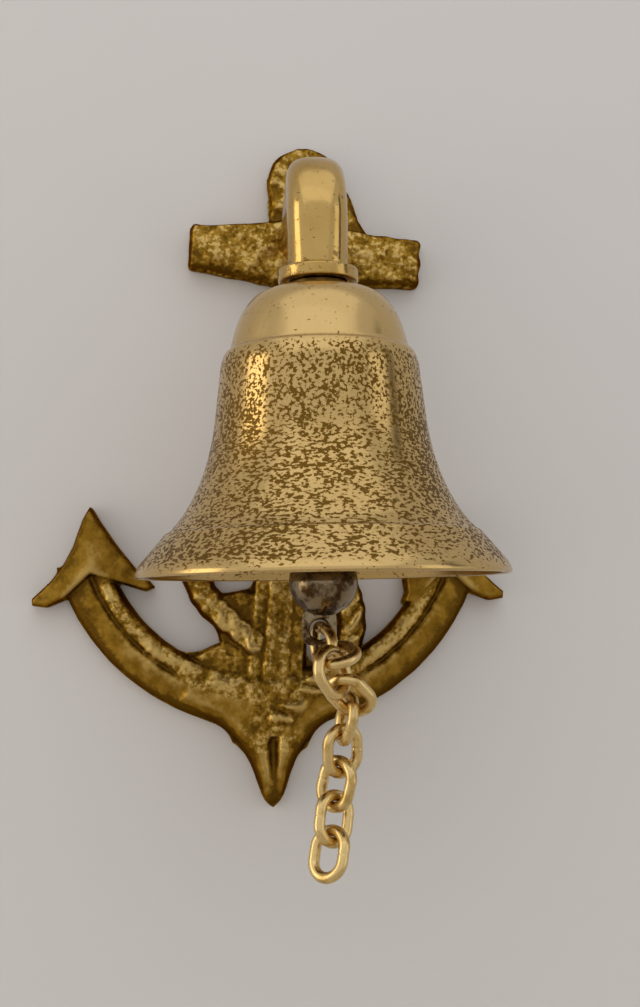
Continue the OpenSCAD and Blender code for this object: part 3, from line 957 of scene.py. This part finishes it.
# %% [markdown]
# ## The chain
#
# Nine oval links of plated wire, each bent round and butted. The frame already holds each link's solid where
# it hangs, so its place is read from there: an oval's middle, length, width and thickness are the centre and
# the three main axes of its surface. The sweep then gives a rounder wire than the solid's mesh has.

# %% Where each link hangs
LINK_L, LINK_W, WIRE = 11.6, 9.2, 2.3
END_R, STRAIGHT = (LINK_W - WIRE) / 2, LINK_L - LINK_W
MIDDLE = END_R + STRAIGHT / 2
LINK_COLS = 28


def surface_axes(ob):
    """Centre in millimetres and main axes of a surface, weighted by area, from thinnest to longest."""
    me = ob.data
    points = np.empty(3 * len(me.vertices))
    me.vertices.foreach_get("co", points)
    me.calc_loop_triangles()
    tris = np.empty(3 * len(me.loop_triangles), int)
    me.loop_triangles.foreach_get("vertices", tris)
    corners = (points.reshape(-1, 3) / MM)[tris.reshape(-1, 3)]
    area = np.linalg.norm(np.cross(corners[:, 1] - corners[:, 0], corners[:, 2] - corners[:, 0]), axis=1)
    middles = corners.mean(1)
    centre = (middles * area[:, None]).sum(0) / area.sum()
    off = middles - centre
    return centre, np.linalg.eigh((off * area[:, None]).T @ off)[1]


def link_place(k, above, axes_above):
    """A link's centre and axes: its length points up the chain, and its width follows the link above."""
    centre, axes = surface_axes(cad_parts["chain_link_%d" % k])
    z = axes[:, 2] * np.sign(axes[:, 2] @ (above - centre))
    x = axes[:, 1] * np.sign((axes[:, 1] @ axes_above[:, 1]) * (z @ axes_above[:, 2]))
    return centre, np.c_[x, np.cross(z, x), z]


def chain_places():
    """The nine placements, from the tab's hole down."""
    places = []
    place = np.array([TAB_X, AXIS_Y, TAB_Z]), np.eye(3)
    for k in range(1, 10):
        place = link_place(k, *place)
        places.append(place)
    return places


places = chain_places()
print("lowest link centre, mm:", places[-1][0].round(2))

# %% The links


def oval_line(n=40):
    """One turn round a link: two half circles joined by straights."""
    a = np.linspace(0, np.pi, n)
    s = np.linspace(0, 1, 10)[1:-1]
    top = np.c_[END_R * np.cos(a), 0 * a, -END_R + END_R * np.sin(a)]
    left = np.c_[np.full(8, -END_R), 0 * s, -END_R - STRAIGHT * s]
    low = np.c_[-END_R * np.cos(a), 0 * a, -END_R - STRAIGHT - END_R * np.sin(a)]
    right = np.c_[np.full(8, END_R), 0 * s, -END_R - STRAIGHT + STRAIGHT * s]
    return np.vstack([top, left, low, right])


def chain_link(k, centre, axes):
    """A link: its wire swept round the oval, with a fine nick at the joint."""
    line = oval_line()
    r = np.full(len(line), WIRE / 2)
    joint = np.argmin(np.abs(line[:, 2] + END_R + STRAIGHT / 2) + 10 * (line[:, 0] > 0))
    r[joint] -= 0.10
    v = sweep(line, r, LINK_COLS, closed=True) + [0, 0, MIDDLE]
    quads = grid_quads(len(line), LINK_COLS, wrap_rows=True)
    return make_mesh("chain_oval_%d" % k, v @ axes.T + centre, quads, CHAIN, "link_%d" % k,
                     ["chain_link_%d" % k])


links = [chain_link(k, *place) for k, place in enumerate(places, 1)]
print("chain:", len(links), "links")

# %% [markdown]
# ## Hidden hardware
#
# The screw in the foot of the arm, the nut and the eye keep the solids that the CAD made: their shapes are
# right, and they only need their metal.

# %% Finish the CAD pieces
for name in ("arm_screw", "crown_nut", "eye_bolt"):
    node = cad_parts[name]
    node.data.materials.clear()
    node.data.materials.append(STEEL)
print("steel on the screw, the nut and the eye")

# %% [markdown]
# ## Wall, light and camera
#
# A pale wall stands just behind the plaque and a pale floor lies below, each seen from one side only, so
# that neither hides the object in other views. Broad soft lights in front, above and at both sides give the
# bell even reflections, and a narrow dark card at the right draws one dark line down it.

# %% Wall and floor


def stage_plane(name, corners, colour, one_sided):
    """A pale card, which lets light and sight through from behind where one_sided is set."""
    me = bpy.data.meshes.new(name)
    me.from_pydata(corners, [], [(0, 1, 2, 3)])
    ob = bpy.data.objects.new(name, me)
    bpy.context.scene.collection.objects.link(ob)
    mat = bpy.data.materials.new(name)
    mat.use_nodes = True
    t = mat.node_tree
    b = next(n for n in t.nodes if n.type == "BSDF_PRINCIPLED")
    b.inputs["Base Color"].default_value = (*colour, 1)
    b.inputs["Roughness"].default_value = 0.9
    b.inputs["Specular IOR Level"].default_value = 0.1
    if one_sided:
        out = next(n for n in t.nodes if n.type == "OUTPUT_MATERIAL")
        g, m, tr = (t.nodes.new("ShaderNode" + k) for k in ("NewGeometry", "MixShader", "BsdfTransparent"))
        t.links.new(g.outputs["Backfacing"], m.inputs[0])
        t.links.new(b.outputs[0], m.inputs[1])
        t.links.new(tr.outputs[0], m.inputs[2])
        t.links.new(m.outputs[0], out.inputs[0])
    me.materials.append(mat)


W, FLOOR, WALL, NEAR = 0.9, -0.45, 0.0006, -1.5
stage_plane("wall_card", [(-W, WALL, FLOOR), (W, WALL, FLOOR), (W, WALL, W), (-W, WALL, W)],
            (0.70, 0.69, 0.695), True)
stage_plane("floor_card", [(-W, NEAR, FLOOR), (W, NEAR, FLOOR), (W, WALL, FLOOR), (-W, WALL, FLOOR)],
            (0.62, 0.58, 0.52), True)
print("wall and floor placed")

# %% Lights


def area_light(name, place, target, size, power, colour):
    """A rectangular soft light at a place, facing a target."""
    data = bpy.data.lights.new(name, "AREA")
    data.shape = "RECTANGLE"
    data.size, data.size_y = size
    data.energy = power
    data.color = colour
    ob = bpy.data.objects.new(name, data)
    bpy.context.scene.collection.objects.link(ob)
    ob.location = place
    ob.rotation_euler = (Vector(target) - Vector(place)).to_track_quat("-Z", "Y").to_euler()


area_light("window_front", (-0.30, -1.25, 0.35), (0, -0.04, -0.08), (2.5, 2.0), 1.9, (1.0, 0.99, 0.97))
area_light("warm_left", (-0.86, -0.22, -0.02), (0, -0.04, -0.08), (0.40, 0.8), 1.8, (1.0, 0.86, 0.64))
area_light("soft_right", (0.86, -0.45, -0.02), (0, -0.04, -0.08), (0.35, 0.8), 0.45, (1.0, 0.93, 0.82))
area_light("ceiling", (0.0, -0.60, 0.95), (0, -0.03, -0.08), (1.8, 1.3), 2.6, (1.0, 0.99, 0.98))
area_light("low_right", (0.55, -0.75, -0.75), (0, 0, -0.1), (0.25, 0.25), 1.3, (1.0, 0.98, 0.95))
# a dark edge of the room at the right gives turned brass its one dark line
stage_plane("dark_edge", [(0.85, -0.23, 0.08), (0.85, -0.07, 0.08), (0.85, -0.07, 0.50), (0.85, -0.23, 0.50)],
            (0.03, 0.02, 0.01), False)

world = bpy.data.worlds.new("room")
world.use_nodes = True
bg = next(n for n in world.node_tree.nodes if n.type == "BACKGROUND")
bg.inputs["Color"].default_value = (0.80, 0.78, 0.76, 1)
bg.inputs["Strength"].default_value = 0.80
bpy.context.scene.world = world
print("lights:", len(bpy.data.lights))

# %% Camera


def aim_camera(place, yaw, pitch, roll, lens):
    """A camera at a place in metres, turned right by yaw and up by pitch, then rolled."""
    y, p, r = (math.radians(v) for v in (yaw, pitch, roll))
    ahead = Vector((math.sin(y) * math.cos(p), math.cos(y) * math.cos(p), math.sin(p)))
    right = Vector((math.cos(y), -math.sin(y), 0))
    up = right.cross(ahead)
    right, up = math.cos(r) * right + math.sin(r) * up, -math.sin(r) * right + math.cos(r) * up
    data = bpy.data.cameras.new("view")
    data.lens, data.sensor_width = lens, 36.0
    data.clip_start, data.clip_end = 0.02, 20
    ob = bpy.data.objects.new("view", data)
    bpy.context.scene.collection.objects.link(ob)
    m = Matrix((right, up, -ahead)).transposed().to_4x4()
    m.translation = Vector(place)
    ob.matrix_world = m
    return ob


cam = aim_camera((-0.01665, -0.31567, -0.1038), 3.52, 4.52, -1.0, 46.5)
bpy.context.scene.camera = cam
bpy.context.scene.view_settings.view_transform = "Standard"
print("camera at", tuple(round(v, 3) for v in cam.location))
